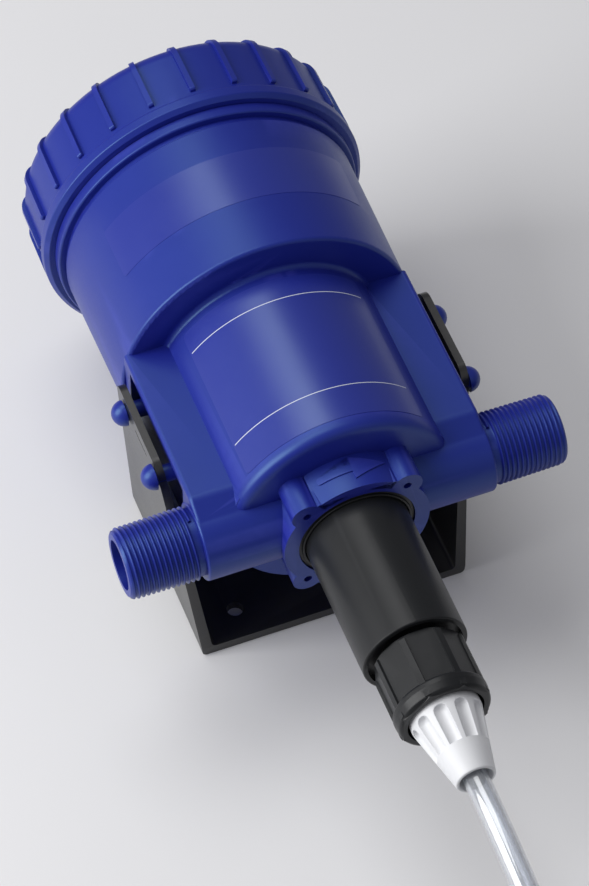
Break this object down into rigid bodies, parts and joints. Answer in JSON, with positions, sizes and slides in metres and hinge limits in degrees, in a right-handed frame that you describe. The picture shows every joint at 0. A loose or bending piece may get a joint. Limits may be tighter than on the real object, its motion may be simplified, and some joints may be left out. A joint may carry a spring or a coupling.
{
  "type": "water-powered dosing pump",
  "caption": "Piston dosing pump driven by the water it treats: ribbed bell, ported body, injection stem with suction hose, and channel bracket with leaning arms.",
  "frame": {"origin": "middle of the wall bracket's back face", "axes": "+X from inlet port to outlet port, +Y along the pump's axis from the suction hose to the bell, +Z out of the wall or up from the floor the bracket lies on"},
  "size_m": [0.1978, 0.534, 0.1414],
  "materials": {
    "body_blue": "satin moulded polypropylene, cobalt blue",
    "bell_blue": "satin moulded polypropylene, cobalt blue",
    "stem_black": "semi-gloss black plastic",
    "bracket_black": "matt black plastic",
    "nut_white": "off-white satin plastic",
    "hose_clear": "clear flexible PVC",
    "seal_rubber": "black rubber",
    "inner_white": "natural acetal",
    "inner_grey": "grey glass-filled plastic",
    "spring_steel": "stainless wire",
    "weight_ceramic": "unglazed ceramic"
  },
  "bodies": {
    "pump": {"wall_bracket": "bracket_black", "pump_body": "body_blue", "gland_ring": "stem_black", "cylinder_seal": "seal_rubber", "injection_cylinder": "stem_black", "plunger_seal": "seal_rubber", "hose_tail": "stem_black", "suction_spring": "spring_steel", "suction_hose": "hose_clear", "hose_coil": "hose_clear", "hose_run_out": "hose_clear", "strainer_body": "stem_black", "strainer_weight": "weight_ceramic"},
    "bell_ring": {"bell_seal": "seal_rubber"},
    "bell": {"bell_housing": "bell_blue", "bleed_spring": "spring_steel"},
    "bleed": {"bleed_button": "stem_black", "bleed_seal": "seal_rubber"},
    "piston": {"motor_piston": "inner_white", "piston_seal": "seal_rubber", "sleeve_seal": "seal_rubber", "plunger_rod": "inner_white", "trip_spring": "spring_steel"},
    "trip": {"trip_rod": "spring_steel"},
    "valves": {"valve_carrier": "inner_grey", "upper_valves": "seal_rubber", "lower_valves": "seal_rubber"},
    "lever_left": {"toggle_lever_left": "inner_grey"},
    "lever_right": {"toggle_lever_right": "inner_grey"},
    "ring_nut": {"ring_nut": "stem_black"},
    "hose_nut": {"hose_nut": "nut_white"},
    "suction_valve": {"suction_valve": "inner_white"}
  },
  "joints": [
    {"name": "bell_lift", "type": "slide", "parent": "pump", "child": "bell_ring", "axis": [0, 1, 0], "range_m": [0, 0.015]},
    {"name": "bell_turn", "type": "hinge", "parent": "bell_ring", "child": "bell", "pos_m": [0, 0.1, 0.0795], "axis": [0, 1, 0], "range_deg": [0, 900]},
    {"name": "bleed_press", "type": "slide", "parent": "bell", "child": "bleed", "axis": [0, -1, 0], "range_m": [0, 0.0025], "deforming": ["bleed_spring"]},
    {"name": "piston_stroke", "type": "slide", "parent": "pump", "child": "piston", "axis": [0, 1, 0], "range_m": [-0.014, 0.014]},
    {"name": "trip_shift", "type": "slide", "parent": "piston", "child": "trip", "axis": [0, 1, 0], "range_m": [0, 0.006], "deforming": ["trip_spring"]},
    {"name": "valve_shift", "type": "slide", "parent": "piston", "child": "valves", "axis": [0, 1, 0], "range_m": [0, 0.003]},
    {"name": "lever_left_swing", "type": "hinge", "parent": "piston", "child": "lever_left", "pos_m": [-0.02, 0.0415, 0.0795], "axis": [0, 0, 1], "range_deg": [0, 20.95]},
    {"name": "lever_right_swing", "type": "hinge", "parent": "piston", "child": "lever_right", "pos_m": [0.02, 0.0415, 0.0795], "axis": [0, 0, -1], "range_deg": [0, 20.95]},
    {"name": "ring_nut_turn", "type": "hinge", "parent": "pump", "child": "ring_nut", "pos_m": [0, -0.1265, 0.0795], "axis": [0, 1, 0], "continuous": true},
    {"name": "hose_nut_turn", "type": "hinge", "parent": "pump", "child": "hose_nut", "pos_m": [0, -0.1525, 0.0795], "axis": [0, 1, 0], "continuous": true},
    {"name": "suction_valve_lift", "type": "slide", "parent": "pump", "child": "suction_valve", "axis": [0, 1, 0], "range_m": [0, 0.002], "deforming": ["suction_spring"]}
  ],
  "couplings": [
    {"joint": "bell_lift", "follows": "bell_turn", "m_per_rad": 0.00095493},
    {"joint": "valve_shift", "follows": "trip_shift", "ratio": 0.5},
    {"joint": "lever_left_swing", "follows": "trip_shift", "rad_per_m": 60.945},
    {"joint": "lever_right_swing", "follows": "trip_shift", "rad_per_m": 60.945}
  ]
}
